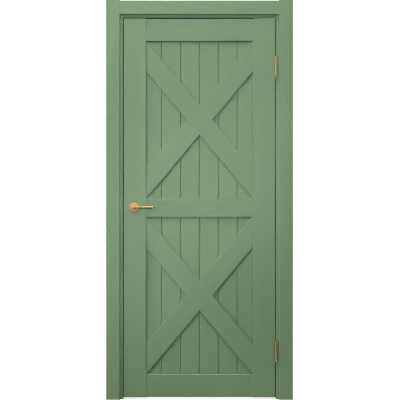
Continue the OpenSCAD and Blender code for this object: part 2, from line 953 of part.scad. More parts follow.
// Bevelled head, and a flat tail: the upper arm carries the nose that the cam pushes
module latch_bolt() {
    head_x = -leaf_x - bolt_travel;
    bevel_y = bolt_t / 2 - bolt_travel * 0.8;
    upper_z = tail_h / 2 - tail_arm;
    color(steel)
        translate([0, 0, lever_z])
            union() {
                translate([0, 0, -bolt_h / 2])
                    linear_extrude(bolt_h)
                        polygon([
                            [head_x, -bolt_t / 2], [tail_bar_x1, -bolt_t / 2], [tail_bar_x1, bolt_t / 2],
                            [-leaf_x, bolt_t / 2], [head_x, bevel_y]
                        ]);
                translate([tail_bar_x0, -tail_t / 2, -tail_h / 2])
                    cube([tail_bar_x1 - tail_bar_x0, tail_t, tail_h]);
                translate([tail_bar_x0, -tail_t / 2, upper_z])
                    cube([nose_x + nose_l - tail_bar_x0, tail_t, tail_arm]);
                translate([nose_x, -tail_t / 2, nose_z])
                    cube([nose_l, tail_t, upper_z - nose_z + over]);
                translate([tail_bar_x0, -tail_t / 2, -tail_h / 2])
                    cube([spring_x0 - tail_bar_x0, tail_t, tail_arm]);
                translate([spring_x0 - over, 0, spring_z])
                    rotate([0, 90, 0]) cylinder(d = spigot_d, h = spigot_l + over);
            }
}

// Coil spring from the lower arm to the back of the case, swept along a helix
module latch_spring() {
    sides = 6;
    turn_steps = 12;
    rings = spring_turns * turn_steps;
    wire_r = spring_wire / 2;
    coil_r = spring_d / 2 - wire_r;
    x0 = spring_x0 + wire_r + slack;
    x1 = spring_x1 - wire_r - slack;
    points = [
        for (i = [0:rings])
            for (k = [0:sides - 1])
                let (
                    turn = 360 * i / turn_steps,
                    r = coil_r + wire_r * cos(360 * k / sides),
                    x = x0 + (x1 - x0) * i / rings + wire_r * sin(360 * k / sides)
                )
                [x, r * cos(turn), r * sin(turn)]
    ];
    walls = [
        for (i = [0:rings - 1])
            for (k = [0:sides - 1])
                let (j = (k + 1) % sides, a = i * sides, b = a + sides)
                [a + k, b + k, b + j, a + j]
    ];
    color(steel)
        translate([0, 0, lever_z + spring_z])
            polyhedron(points, concat(
                walls,
                [[for (k = [0:sides - 1]) k]],
                [[for (k = [sides - 1:-1:0]) rings * sides + k]]
            ));
}

// Puts a piece drawn up from the leaf's face, with its axis on Z, at the lever axis
module at_lever(face) {
    on_face(face)
        translate([lever_x, face_y, lever_z])
            rotate([90, 0, 0]) children();
}

// Turned rose: an upright rim, then a convex rise to the collar round the neck
module rose(face) {
    collar_r = neck_d / 2 + 3;
    shoulder_r = rose_d / 2 - 1.5;
    dome_h = rose_h - rose_rim_h - 1;
    color(brass)
        at_lever(face)
            difference() {
                rotate_extrude()
                    polygon(concat(
                        [[neck_d / 2 + turning, 0], [rose_d / 2, 0], [rose_d / 2, rose_rim_h]],
                        [
                            for (i = [0:rose_steps])
                                let (a = 90 * i / rose_steps)
                                [collar_r + (shoulder_r - collar_r) * cos(a), rose_rim_h + dome_h * sin(a)]
                        ],
                        [[collar_r, rose_h], [neck_d / 2 + turning, rose_h]]
                    ));
                for (angle = rose_bolt_angles)
                    rotate([0, 0, angle])
                        translate([rose_bolt_r, 0, -over])
                            cylinder(d = rose_bolt_d + 2 * slack, h = rose_rim_h + over - slack);
            }
}

module rose_bolts() {
    reach = leaf_t + 2 * (rose_rim_h - 2 * slack);
    color(steel) rose_bolt_places() cylinder(d = rose_bolt_d, h = reach, center = true);
}

// Smooth step from 0 at a to 1 at b
function blend(a, b, s) =
    let (t = min(1, max(0, (s - a) / (b - a))))
    t * t * (3 - 2 * t);

// Radius of the lever's arm at a distance from its turning axis: ring, waist, grip and pointed tip
function arm_r(s) =
    let (
        body = waist_d / 2 + (grip_d - waist_d) / 2 * blend(waist_end, grip_start, s),
        ring = s > ring_at - ring_half && s < ring_at + ring_half
            ? (ring_d - waist_d) / 2 * sqrt(1 - pow((s - ring_at) / ring_half, 2))
            : 0,
        tip = s < grip_end ? 1 : cos(90 * pow((s - grip_end) / (lever_l - grip_end), 1.4))
    )
    (body + ring) * tip;

module lever(face) {
    start = 1;
    waist_z = rose_h + 8;
    a = spindle_a + 2 * spindle_room;
    hole_l = spindle_l / 2 - leaf_t / 2 + slack;
    color(brass)
        at_lever(face)
            difference() {
                union() {
                    rotate_extrude()
                        polygon([
                            [0, start], [neck_d / 2, start], [neck_d / 2, rose_h + 3],
                            [neck_waist_d / 2, waist_z], [neck_waist_d / 2, lever_reach], [0, lever_reach]
                        ]);
                    translate([0, 0, lever_reach]) sphere(d = elbow_d);
                    translate([0, 0, lever_reach])
                        rotate([0, 90, 0])
                            rotate_extrude()
                                polygon(concat(
                                    [[0, 0]],
                                    [
                                        for (i = [0:arm_steps - 1])
                                            let (s = lever_l * i / arm_steps)
                                            [arm_r(s), s]
                                    ],
                                    [[0, lever_l]]
                                ));
                }
                translate([-a / 2, -a / 2, -over]) cube([a, a, hole_l + over]);
                translate([0, 0, grub_reach])
                    rotate([90, 0, 0]) cylinder(d = grub_d + 2 * slack, h = neck_d);
            }
}

module spindle() {
    color(steel)
        translate([lever_x, 0, lever_z]) cube([spindle_a, spindle_l, spindle_a], center = true);
}

// Set screws that hold the levers on the spindle, driven from below
module lever_grub_screws() {
    color(steel)
        for (face = faces)
            at_lever(face)
                translate([0, -spindle_a / 2 - slack, grub_reach])
                    rotate([90, 0, 0]) cylinder(d = grub_d, h = grub_l);
}

module shown(name) {
    children();
}

hinge_jamb();
strike_jamb();
head_jamb();
frame_seal();
for (face = faces) {
    shown(str(face, "_left_casing")) side_casing(face, "left");
    shown(str(face, "_right_casing")) side_casing(face, "right");
    shown(str(face, "_head_casing")) head_casing(face);
}
strike_plate();
strike_screws();
corner_screws();
hinge_screw_set(1);  // frame_hinge_screws
hinge_wing(1, upper_hinge_z);  // upper_hinge_frame_wing
hinge_wing(1, lower_hinge_z);  // lower_hinge_frame_wing
hinge_pin(upper_hinge_z);  // upper_hinge_pin
hinge_pin(lower_hinge_z);  // lower_hinge_pin
hinge_stile();
lock_stile();
top_rail();
lock_rail();
bottom_rail();
rail_dowels();
for (panel = panels) {
    for (i = [1:plank_count]) shown(str(panel, "_plank_", i)) plank(panel, i);
    for (face = faces) {
        shown(str(panel, "_", face, "_rising_brace")) brace(panel, face, 1);
        shown(str(panel, "_", face, "_falling_brace")) brace(panel, face, -1);
    }
}
hinge_wing(-1, upper_hinge_z);  // upper_hinge_leaf_wing
hinge_wing(-1, lower_hinge_z);  // lower_hinge_leaf_wing
hinge_screw_set(-1);  // leaf_hinge_screws
latch_case();
latch_forend();
latch_screws();
latch_spring();
rose("front");  // front_rose
rose("back");  // back_rose
rose_bolts();
lever("front");  // front_lever
lever("back");  // back_lever
spindle();
latch_follower();
lever_grub_screws();
latch_bolt();
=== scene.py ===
"""The looks of an interior door with its frame: a planked and braced leaf under sage enamel,
turned brass levers on a mortise latch, brass butt hinges, and a rebated frame with flat casings.
Metres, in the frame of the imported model: X towards the hinges, Y into the wall, Z up.
"""

import math

import bpy
import numpy as np
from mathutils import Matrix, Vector


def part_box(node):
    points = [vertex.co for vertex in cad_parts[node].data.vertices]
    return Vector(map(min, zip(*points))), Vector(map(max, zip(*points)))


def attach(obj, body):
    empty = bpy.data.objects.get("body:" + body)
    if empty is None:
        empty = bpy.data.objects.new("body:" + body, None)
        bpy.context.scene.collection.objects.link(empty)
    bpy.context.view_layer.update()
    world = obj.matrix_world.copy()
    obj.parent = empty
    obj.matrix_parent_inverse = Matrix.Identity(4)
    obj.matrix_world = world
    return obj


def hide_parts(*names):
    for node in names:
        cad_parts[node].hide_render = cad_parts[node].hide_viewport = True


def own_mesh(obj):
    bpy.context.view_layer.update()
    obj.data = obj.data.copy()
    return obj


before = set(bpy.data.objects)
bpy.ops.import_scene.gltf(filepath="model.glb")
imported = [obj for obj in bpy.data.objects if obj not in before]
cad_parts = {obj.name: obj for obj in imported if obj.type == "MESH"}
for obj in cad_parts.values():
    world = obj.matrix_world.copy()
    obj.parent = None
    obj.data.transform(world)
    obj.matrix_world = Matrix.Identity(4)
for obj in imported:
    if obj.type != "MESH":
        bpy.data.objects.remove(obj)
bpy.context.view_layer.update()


# Camera
# It stands square to the closed leaf and level, at half the door's height and four metres
# back, so that the casings reach to the picture's top and foot. Its pixels are kept sharp.
sensor_mm = 36
camera_back = 4.0
picture_height = 2.111
picture_middle = (0.0026, 1.0516)
pixel_blur = 1.1
leaf_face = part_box("lock_stile")[0].y
camera = bpy.data.objects.new("camera", bpy.data.cameras.new("camera"))
camera.data.sensor_width = sensor_mm
camera.data.lens = sensor_mm * camera_back / picture_height
camera.location = (picture_middle[0], leaf_face - camera_back, picture_middle[1])
camera.rotation_euler = (math.pi / 2, 0, 0)
bpy.context.scene.collection.objects.link(camera)
bpy.context.scene.camera = camera
bpy.context.scene.view_settings.view_transform = "Standard"
bpy.context.scene.cycles.filter_width = pixel_blur


# Studio
# A pale floor that runs on into a white room. Far lamps light the door from the left and from
# above, gridded boxes add pools that leave its foot dimmer, and one box lights its back. Cards
# that polished metal alone shows give the brass its darker sides.
class Field:
    """A value over a surface: one output socket of a node tree. Arithmetic adds Math nodes."""

    def __init__(self, tree, socket=None):
        self.tree = tree
        self.socket = socket

    def node(self, kind, settings=None, inputs=None, output=0):
        """Adds a node of that type, makes its settings, then gives its sockets values or links."""
        made = self.tree.nodes.new(kind)
        for name, value in (settings or {}).items():
            setattr(made, name, value)
        for key, value in (inputs or {}).items():
            if isinstance(value, Field):
                self.tree.links.new(value.socket, made.inputs[key])
            else:
                made.inputs[key].default_value = value
        return Field(self.tree, made.outputs[output] if made.outputs else None)

    def math(self, operation, *values):
        """A Math node with that operation on these numbers and fields."""
        return self.node("ShaderNodeMath", {"operation": operation}, dict(enumerate(values)))

    def __add__(self, other):
        return self.math("ADD", self, other)

    def __sub__(self, other):
        return self.math("SUBTRACT", self, other)

    def __rsub__(self, other):
        return self.math("SUBTRACT", other, self)

    def __mul__(self, other):
        return self.math("MULTIPLY", self, other)

    def __truediv__(self, other):
        return self.math("DIVIDE", self, other)

    __radd__ = __add__
    __rmul__ = __mul__

    def step(self, low, high):
        """0 where the value is below low, 1 above high, and a smooth S between. High may be the
        lower one of the two, and then the S falls."""
        return self.node(
            "ShaderNodeMapRange",
            {"interpolation_type": "SMOOTHSTEP"},
            {"Value": self, "From Min": low, "From Max": high},
        )

    def blend(self, first, second):
        """The colour first where the value is 0, and second where it is 1."""
        factor, colour_a, colour_b, mixed_colour = 0, 6, 7, 2
        sockets = {factor: self, colour_a: first, colour_b: second}
        return self.node("ShaderNodeMix", {"data_type": "RGBA"}, sockets, mixed_colour)

    def noise(self, per_metre, detail=2.0):
        """Smooth noise round 0.5 on this vector, with so many swells a metre along X, Y and Z."""
        scaling = {0: self, 1: per_metre}
        scaled = self.node("ShaderNodeVectorMath", {"operation": "MULTIPLY"}, scaling)
        sockets = {"Vector": scaled, "Scale": 1.0, "Detail": detail}
        return self.node("ShaderNodeTexNoise", None, sockets)


def studio_rays(shade):
    """1 for what the camera sees, straight or in metal or glass, and 0 for light on its way."""
    straight, mirrored, through = (
        shade.node("ShaderNodeLightPath", output=f"Is {kind} Ray")
        for kind in ("Camera", "Glossy", "Transmission")
    )
    return shade.math("MAXIMUM", straight, shade.math("MAXIMUM", mirrored, through))


def softbox(name, place, aim, size, watts, spread_deg):
    """An area lamp of that width and height that faces the point it is aimed at. A grid in front
    of it narrows its spread, which is 180 degrees without one."""
    lamp = bpy.data.lights.new(name, "AREA")
    lamp.shape = "RECTANGLE"
    lamp.size, lamp.size_y = size
    lamp.energy = watts
    lamp.spread = math.radians(spread_deg)
    box = bpy.data.objects.new(name, lamp)
    box.location = place
    box.rotation_euler = (Vector(aim) - Vector(place)).to_track_quat("-Z", "Y").to_euler()
    box.visible_glossy = False
    bpy.context.scene.collection.objects.link(box)


def sunlike(name, towards, strength, width_deg):
    """A lamp so far off that it lights the whole door alike, from the way given, as broad as that
    angle."""
    lamp = bpy.data.lights.new(name, "SUN")
    lamp.energy = strength
    lamp.angle = math.radians(width_deg)
    far = bpy.data.objects.new(name, lamp)
    far.rotation_euler = Vector(towards).to_track_quat("Z", "Y").to_euler()
    far.visible_glossy = False
    bpy.context.scene.collection.objects.link(far)


white = (1, 1, 1, 1)
floor_half = 15.0
floor_glow = 0.78
floor_shadow_share = 0.4
floor_bounce = 0.1
room_light = 0.18

floor_corners = [(-1, -1), (1, -1), (1, 1), (-1, 1)]
floor_mesh = bpy.data.meshes.new("floor")
floor_mesh.from_pydata(
    [(x * floor_half, y * floor_half, 0) for x, y in floor_corners], [], [(0, 1, 2, 3)]
)
floor = bpy.data.objects.new("floor", floor_mesh)
bpy.context.scene.collection.objects.link(floor)
floor_paint = bpy.data.materials.new("studio_floor")
floor_paint.use_nodes = True
floor_paint.node_tree.nodes.clear()
shade = Field(floor_paint.node_tree)
bounce = shade.node("ShaderNodeBsdfDiffuse", None, {"Color": (floor_bounce,) * 3 + (1,)})
shadowed = shade.node("ShaderNodeBsdfDiffuse", None, {"Color": (floor_shadow_share,) * 3 + (1,)})
glow = shade.node("ShaderNodeEmission", None, {"Color": white, "Strength": floor_glow})
seen = shade.node("ShaderNodeAddShader", None, {0: shadowed, 1: glow})
mixed = shade.node("ShaderNodeMixShader", None, {0: studio_rays(shade), 1: bounce, 2: seen})
shade.node("ShaderNodeOutputMaterial", None, {"Surface": mixed})
floor_mesh.materials.append(floor_paint)

room = bpy.data.worlds.new("room")
room.use_nodes = True
room.node_tree.nodes.clear()
shade = Field(room.node_tree)
room_strength = room_light + (1 - room_light) * studio_rays(shade)
sky = shade.node("ShaderNodeBackground", None, {"Color": white, "Strength": room_strength})
shade.node("ShaderNodeOutputWorld", None, {"Surface": sky})
bpy.context.scene.world = room

for name, towards, strength, width_deg in (
    ("key_lamp", (-2.4, -1.0, 0.4), 1.0, 46),
    ("ceiling_lamp", (0.15, -1.0, 2.4), 0.85, 56),
    ("zenith_lamp", (-0.4, -1.0, 4.5), 1.25, 24),
    ("fill_lamp", (0.85, -1.0, 0.65), 0.1, 30),
):
    sunlike(name, towards, strength, width_deg)

for name, place, aim, size, watts, spread_deg in (
    ("side_lamp", (-3.3, -0.95, 1.3), (0, 0, 1.2), (1.2, 1.2), 58, 180),
    ("front_lamp", (-0.9, -5.2, 2.3), (0.4, 0, 1.34), (2.2, 1.0), 1.88, 16),
    ("high_lamp", (-0.05, -1.3, 4.4), (-0.05, 0, 1.4), (1.2, 0.3), 0.78, 16),
    ("middle_lamp", (0.0, -2.0, 3.9), (0.05, 0, 0.93), (0.5, 0.3), 0.1, 10),
    ("low_lamp", (-1.4, -5.2, 2.0), (-0.3, 0, 0.62), (0.7, 1.0), 0.46, 10),
    ("head_lamp", (0.12, -0.75, 3.6), (0.06, 0, 2.2), (1.25, 0.3), 0.8, 10),
    ("back_lamp", (2.6, 4.2, 3.4), (0, 0, 1.0), (3.0, 3.0), 330, 180),
):
    softbox(name, place, aim, size, watts, spread_deg)


def card(name, low, high, level):
    """A flat card between two corners that share one coordinate, which polished metal alone
    shows: it glows at that level, from 0, black, to 1, the white of the room."""
    low, high = np.array(low), np.array(high)
    flat = int(np.argmin(high - low))
    first, second = (axis for axis in range(3) if axis != flat)
    corners = np.tile(low, (4, 1))
    corners[[1, 2], first] = high[first]
    corners[[2, 3], second] = high[second]
    mesh = bpy.data.meshes.new(name)
    mesh.from_pydata(corners.tolist(), [], [(0, 1, 2, 3)])
    paint = bpy.data.materials.new(name)
    paint.use_nodes = True
    paint.node_tree.nodes.clear()
    shade = Field(paint.node_tree)
    glow = shade.node("ShaderNodeEmission", None, {"Color": white, "Strength": level})
    shade.node("ShaderNodeOutputMaterial", None, {"Surface": glow})
    mesh.materials.append(paint)
    board = bpy.data.objects.new(name, mesh)
    for rays in ("camera", "diffuse", "transmission", "volume_scatter", "shadow"):
        setattr(board, "visible_" + rays, False)
    bpy.context.scene.collection.objects.link(board)


on_floor = 0.002
for name, low, high, level in (
    ("near_card", (-3.0, -1.0, on_floor), (0.05, -0.02, on_floor), 0.03),
    ("floor_card", (-3.0, -5.9, on_floor), (0.05, -1.0, on_floor), 0.2),
    ("right_floor_card", (0.05, -5.9, on_floor), (0.9, -0.6, on_floor), 0.5),
    ("side_floor_card", (0.9, -3.0, on_floor), (2.4, -0.05, on_floor), 0.03),
    ("front_card", (-1.7, -5.9, 0.0), (-0.25, -5.9, 2.8), 0.3),
    ("right_card", (2.4, -3.0, 0.0), (2.4, -0.1, 2.6), 0.02),
    ("left_card", (-2.4, -0.8, 0.0), (-2.4, -0.1, 2.6), 0.02),
):
    card(name, low, high, level)


# Frame: two jambs and a head
# Ash, rebated for the leaf, mitred and screwed at the head, and sprayed with sage enamel
# that fills the wood only half, so that growth rings and open pores still show.
def colour(red, green, blue):
    """A screen colour from 0 to 255, as the linear one that shaders take."""
    screen = np.array([red, green, blue]) / 255
    linear = np.where(screen <= 0.04045, screen / 12.92, ((screen + 0.055) / 1.055) ** 2.4)
    return tuple(linear) + (1.0,)


def dress(finish, *nodes):
    """Gives the finish to every face of these nodes."""
    for name in nodes:
        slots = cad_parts[name].data.materials
        slots.clear()
        slots.append(finish)


def new_finish(name):
    """An empty material, and a field to start its shader from."""
    finish = bpy.data.materials.new(name)
    finish.use_nodes = True
    finish.node_tree.nodes.clear()
    return finish, Field(finish.node_tree)


def close_finish(shade, inputs, height, eased=None):
    """Ends a shader in the principled surface with these inputs. Height, in metres, raises its
    normals, which eased, if given, has already rounded off along the arrises."""
    relief = {"Height": height, "Distance": 1.0}
    if eased is not None:
        relief["Normal"] = eased
    inputs = dict(inputs, Normal=shade.node("ShaderNodeBump", None, relief))
    surface = shade.node("ShaderNodeBsdfPrincipled", None, inputs)
    shade.node("ShaderNodeOutputMaterial", None, {"Surface": surface})


def ash_grain(shade, turn, heart, lean, foot, ring, clear):
    """Earlywood and open pores of a board, each from 0 to 1, and a slow drift round 0.5.
    Rings are cones round the tree's heart: a point's ring number is its distance from a line
    through heart (X, Y), which leans towards the face by so much a metre above foot, over the
    ring's width. A ring begins with a band of pores, drawn out along the board. Turn lays the
    board over about Y. Clear is how plainly rings show: a share, and if need be the place along
    the board where they show best, and how far from it they fade."""
    drift_swells, waver_swells, pore_swells = (9, 9, 1.3), (30, 30, 3), (1700, 1700, 70)
    drift_rings, waver_rings = 5, 2
    early_whole, early_fades, early_ends = 0.1, 0.15, 0.6
    pore_rim, pore_floor = 0.55, 0.66
    clear_core = 0.3
    spot = shade.node("ShaderNodeTexCoord", output="Object")
    laid = {"Vector": spot, "Rotation": (0, turn, 0)}
    board = shade.node("ShaderNodeMapping", {"vector_type": "TEXTURE"}, laid)
    across, deep, along = (
        shade.node("ShaderNodeSeparateXYZ", None, {"Vector": board}, axis) for axis in range(3)
    )
    drift = board.noise(drift_swells)
    waver = board.noise(waver_swells)
    sideways = across - heart[0] + (drift - 0.5) * (drift_rings * ring)
    inwards = deep - heart[1] - (along - foot) * lean + (waver - 0.5) * (waver_rings * ring)
    away = shade.math("SQRT", sideways * sideways + inwards * inwards)
    rings = shade.math("FRACT", away / ring)
    share, *place = clear
    if place:
        best, reach = place
        share = share * shade.math("ABSOLUTE", along - best).step(reach, clear_core * reach)
    early = rings.step(0.0, early_whole) * rings.step(early_ends, early_fades) * share
    pores = early * board.noise(pore_swells, 1.0).step(pore_rim, pore_floor)
    return early, pores, drift


def sage_enamel(
    name,
    turn=0.0,
    heart=(0.3, 0.1),
    lean=0.0,
    foot=0.0,
    ring=0.004,
    clear=(0.5,),
    arris=0.004,
    edge_highlight=0.6,
):
    """Satin enamel over ash: a little darker in earlywood and in pores, where it also lies lower.
    It rounds the wood's arrises by that radius, and by a share paints a paler tone where the
    rounded normal turns away from the face's own: a painted highlight along the arrises, laid on
    like worn enamel."""
    # The third colour is a painted highlight: the pale tone laid along the arrises where light
    # would catch them.
    plain, in_grain, highlight_tone = colour(125, 151, 115), colour(112, 137, 103), colour(168, 194, 156)
    early_tint, pore_tint, drift_tint = 0.3, 0.45, 0.35
    satin, early_dulls, drift_dulls = 0.46, 0.1, 0.12
    spray_height, early_depth, pore_depth = 0.00001, 0.00004, 0.0001
    spray_swells = (900, 900, 900)
    highlight_turn = 0.06
    finish, shade = new_finish(name)
    eased = shade.node("ShaderNodeBevel", {"samples": 8}, {"Radius": arris})
    early, pores, drift = ash_grain(shade, turn, heart, lean, foot, ring, clear)
    sunk = early_tint * early + pore_tint * pores + drift_tint * (drift - 0.5)
    spray = shade.node("ShaderNodeTexCoord", output="Object").noise(spray_swells, 1.0)
    height = spray * spray_height - early * early_depth - pores * pore_depth
    tone = sunk.blend(plain, in_grain)
    # Painted highlight: the arrises are made paler by the share given, in place of light caught on
    # the edges.
    if edge_highlight:
        normals = {0: eased, 1: shade.node("ShaderNodeNewGeometry", output="Normal")}
        level = shade.node(
            "ShaderNodeVectorMath", {"operation": "DOT_PRODUCT"}, normals, output="Value"
        )
        tone = (edge_highlight * (1 - level).step(0.0, highlight_turn)).blend(tone, highlight_tone)
    sheen = {
        "Base Color": tone,
        "Roughness": satin + early_dulls * early + drift_dulls * (drift - 0.5),
        "Specular IOR Level": 0.3,
    }
    close_finish(shade, sheen, height, eased)
    return finish


upright, lying = 0.0, math.pi / 2
# The jambs and the head jamb keep the default painted highlight along their arrises.
dress(sage_enamel("jamb_enamel"), "hinge_jamb", "strike_jamb")
dress(sage_enamel("head_jamb_enamel", lying, heart=(-2.3, 0.1)), "head_jamb")


# Casings
# Flat ash boards with eased edges that cover the gap to the wall on both sides, tongued into
# the frame. The uprights run past the head board, whose grain lies across.
heart_past_edge = 0.01
head_heart_lift, head_heart_depth = 0.02, 0.12
for side in ("front", "back"):
    for hand in ("left", "right"):
        name = f"{side}_{hand}_casing"
        low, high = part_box(name)
        # Each casing keeps the default painted highlight along its arrises.
        finish = sage_enamel(
            name + "_enamel",
            upright,
            heart=(high.x + heart_past_edge, (low.y + high.y) / 2),
            lean=0.1,
            foot=0.75,
            ring=0.007,
            clear=(0.9, 1.3, 0.55),
        )
        dress(finish, name)
    name = f"{side}_head_casing"
    low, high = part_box(name)
    middle = (low + high) / 2
    heart = (-middle.z + head_heart_lift, middle.y + head_heart_depth)
    dress(sage_enamel(name + "_enamel", lying, heart, lean=0.02, ring=0.005, clear=(0.6,)), name)


# Seal
# A hollow bulb of soft dark sealing strip, pushed into the groove of the stop, up one jamb,
# across the head and down the other. The leaf closes on it.
finish, shade = new_finish("sealing_strip")
spot = shade.node("ShaderNodeTexCoord", output="Object")
clouds, dust, texture = (spot.noise((swells,) * 3) for swells in (40, 300, 2500))
texture_height = 0.00002
strip = {
    "Base Color": clouds.blend(colour(58, 68, 54), colour(76, 86, 70)),
    "Roughness": 0.62 + 0.2 * dust,
}
close_finish(shade, strip, texture * texture_height)
dress(finish, "frame_seal")


# Leaf framework: stiles, rails and their dowels
# Ash again. The lock stile is cut on the quarter and looks plain, the hinge stile shows tall
# arches, and the rails' grain lies across. Beech dowels are glued into every joint.
stile_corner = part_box("hinge_stile")[0]
# The lock stile gets no painted edge highlight; the hinge stile and the rails keep the default one.
plain_stile = sage_enamel(
    "lock_stile_enamel", upright, heart=(-0.7, 0.1), ring=0.0035, clear=(0.35,), edge_highlight=0.0
)
arched_stile = sage_enamel(
    "hinge_stile_enamel",
    upright,
    heart=(stile_corner.x - heart_past_edge, stile_corner.y),
    lean=0.09,
    foot=0.9,
    ring=0.008,
    clear=(1.0, 1.42, 0.5),
)
dress(plain_stile, "lock_stile")
dress(arched_stile, "hinge_stile")
rail_heart_depth = 0.05
for name, lift, lean, share in (
    ("top_rail", 0.03, 0.015, 0.45),
    ("lock_rail", 0.004, 0.03, 0.75),
    ("bottom_rail", 0.06, 0.01, 0.4),
):
    low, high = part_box(name)
    heart = (-(low.z + high.z) / 2 + lift, rail_heart_depth)
    dress(sage_enamel(name + "_enamel", lying, heart, lean, ring=0.008, clear=(share,)), name)

finish, shade = new_finish("beech")
spot = shade.node("ShaderNodeTexCoord", output="Object")
fleck_swells, streak_swells = (60, 700, 700), (8, 300, 300)
fleck = spot.noise(fleck_swells).step(0.6, 0.7)
streak = 0.5 * fleck + 0.5 * spot.noise(streak_swells)
beech = {
    "Base Color": streak.blend(colour(214, 178, 132), colour(178, 134, 90)),
    "Roughness": 0.6 + 0.1 * fleck,
}
fleck_depth = 0.00003
close_finish(shade, beech, fleck * -fleck_depth)
dress(finish, "rail_dowels")


# Planks
# Six tongued and grooved boards to a panel, let into grooves of the framework, with their front
# and back edges planed off so that two of them meet in a V. The middle two are cut near the heart.
plank_count = 6
off_heart = {3: 0.012, 4: -0.01}
outer_heart_aside, outer_heart_depth = -0.16, 0.06
for panel, foot, lean, best in (("upper", 0.9, 0.12, 1.15), ("lower", 0.62, 0.2, 0.85)):
    for number in range(1, plank_count + 1):
        name = f"{panel}_plank_{number}"
        low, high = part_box(name)
        middle = (low + high) / 2
        if number in off_heart:
            heart = (middle.x + off_heart[number], low.y)
            cut = {"lean": lean, "foot": foot, "ring": 0.005, "clear": (1.0, best, 0.4)}
        else:
            heart = (middle.x + outer_heart_aside, outer_heart_depth)
            cut = {"lean": 0.02, "foot": low.z, "ring": 0.006, "clear": (0.45,)}
        # The planks get no painted highlight along their arrises.
        dress(sage_enamel(name + "_enamel", upright, heart, edge_highlight=0.0, **cut), name)


# Braces
# Two boards to a panel and side, halved over each other where they cross, so that their faces
# run through level. They lie on the planks, a little behind stiles and rails, with chamfered
# edges; those that rise towards the hinges carry a painted highlight along their arrises.
brace_width = 0.103
brace_arris = 0.0025
brace_heart_aside, brace_heart_depth = 0.09, 0.08
for panel, share in (("upper", 0.35), ("lower", 0.65)):
    for side in ("front", "back"):
        # Rising braces get the full painted highlight along their arrises, falling ones none.
        for way, hand, edge_highlight in (("rising", 1, 1.0), ("falling", -1, 0.0)):
            name = f"{panel}_{side}_{way}_brace"
            low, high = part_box(name)
            wide, tall = high.x - low.x, high.z - low.z
            slope = math.acos(brace_width / math.hypot(wide, tall)) - math.atan2(wide, tall)
            turn = hand * (math.pi / 2 - slope)
            middle = (low + high) / 2
            across = middle.x * math.cos(turn) - middle.z * math.sin(turn)
            finish = sage_enamel(
                name + "_enamel",
                turn,
                heart=(across + brace_heart_aside, middle.y + brace_heart_depth),
                lean=0.02,
                foot=1.0,
                ring=0.007,
                clear=(share,),
                arris=brace_arris,
                edge_highlight=edge_highlight,
            )
            dress(finish, name)


# Hinges
# Pressed brass wings let into stile and jamb, with five knuckles on a loose pin. The barrel is
# drawn and satin polished; the pin's head and the foot of the barrel end in turned tips.
def brass(name, tone, shadow, roughness, grain, depth=0.000002):
    """Brass that was rubbed down along one way: fine lines of noise in so many swells a metre,
    which lie that deep, and slow clouds of wear and sheen from tone to shadow."""
    cloud_swells, line_detail = (60, 60, 60), 3.0
    cloud_clears, cloud_thick = 0.35, 0.8
    line_sheen, cloud_sheen = 0.1, 0.08
    finish, shade = new_finish(name)
    spot = shade.node("ShaderNodeTexCoord", output="Object")
    lines = spot.noise(grain, line_detail)
    clouds = spot.noise(cloud_swells)
    metal = {
        "Metallic": 1.0,
        "Base Color": clouds.step(cloud_clears, cloud_thick).blend(tone, shadow),
        "Roughness": roughness + line_sheen * (lines - 0.5) + cloud_sheen * (clouds - 0.5),
    }
    close_finish(shade, metal, lines * depth)
    return finish


hinge_brass = brass(
    "hinge_brass", colour(232, 196, 134), colour(214, 176, 114), roughness=0.3, grain=(900, 900, 30)
)
for place in ("upper", "lower"):
    for part in ("frame_wing", "leaf_wing", "pin"):
        dress(hinge_brass, f"{place}_hinge_{part}")


# Latch and strike
# A plated steel case with a cast follower and a coil spring, behind a brass forend on the leaf's
# edge. Its blackened steel bolt enters the strike plate, which is let into the jamb and screwed.
def plated_steel(name, tone, roughness):
    """Plated steel: a spangle of soft patches, each of its own tone and sheen."""
    dull = colour(150, 152, 150)
    patches_per_metre, patch_sheen = 300.0, 0.12
    bloom_swells, bloom_height = (1200, 1200, 1200), 0.000004
    finish, shade = new_finish(name)
    spot = shade.node("ShaderNodeTexCoord", output="Object")
    sockets = {"Vector": spot, "Scale": patches_per_metre}
    patches = shade.node("ShaderNodeTexVoronoi", None, sockets, "Color")
    patch = shade.node("ShaderNodeSeparateColor", None, {"Color": patches})
    metal = {
        "Metallic": 1.0,
        "Base Color": patch.blend(tone, dull),
        "Roughness": roughness + patch_sheen * patch,
    }
    close_finish(shade, metal, spot.noise(bloom_swells) * bloom_height)
    return finish


def closed_skin(name, grids, finish, body, slot, *nodes):
    """A new piece that stands for these nodes. Each grid of it is rows of points that close round
    to a tube, and its first and last row are single points, so that the tube ends in two poles."""
    sharp_deg = 40
    points, corners, count = [], [], 0
    for grid in grids:
        rows, columns = grid.shape[:2]
        last = (rows - 2) * columns + 1
        number = np.arange(rows * columns).reshape(rows, columns) - columns + 1
        number = np.clip(number, 0, last)
        beside = np.roll(number, -1, axis=1)
        halves = (number[:-1], number[1:], beside[1:]), (number[:-1], beside[1:], beside[:-1])
        triangles = np.concatenate([np.stack(half, axis=-1).reshape(-1, 3) for half in halves])
        whole = (triangles != np.roll(triangles, 1, axis=1)).all(axis=1)
        points.append(np.concatenate([grid[0, :1], grid[1:-1].reshape(-1, 3), grid[-1, :1]]))
        corners.append(triangles[whole] + count)
        count += last + 1
    mesh = bpy.data.meshes.new(name)
    mesh.from_pydata(np.concatenate(points).tolist(), [], np.concatenate(corners).tolist())
    mesh.polygons.foreach_set("use_smooth", np.ones(len(mesh.polygons), bool))
    mesh.set_sharp_from_angle(angle=math.radians(sharp_deg))
    mesh.materials.append(finish)
    piece = bpy.data.objects.new(name, mesh)
    bpy.context.scene.collection.objects.link(piece)
    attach(piece, body)
    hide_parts(*nodes)
    return piece


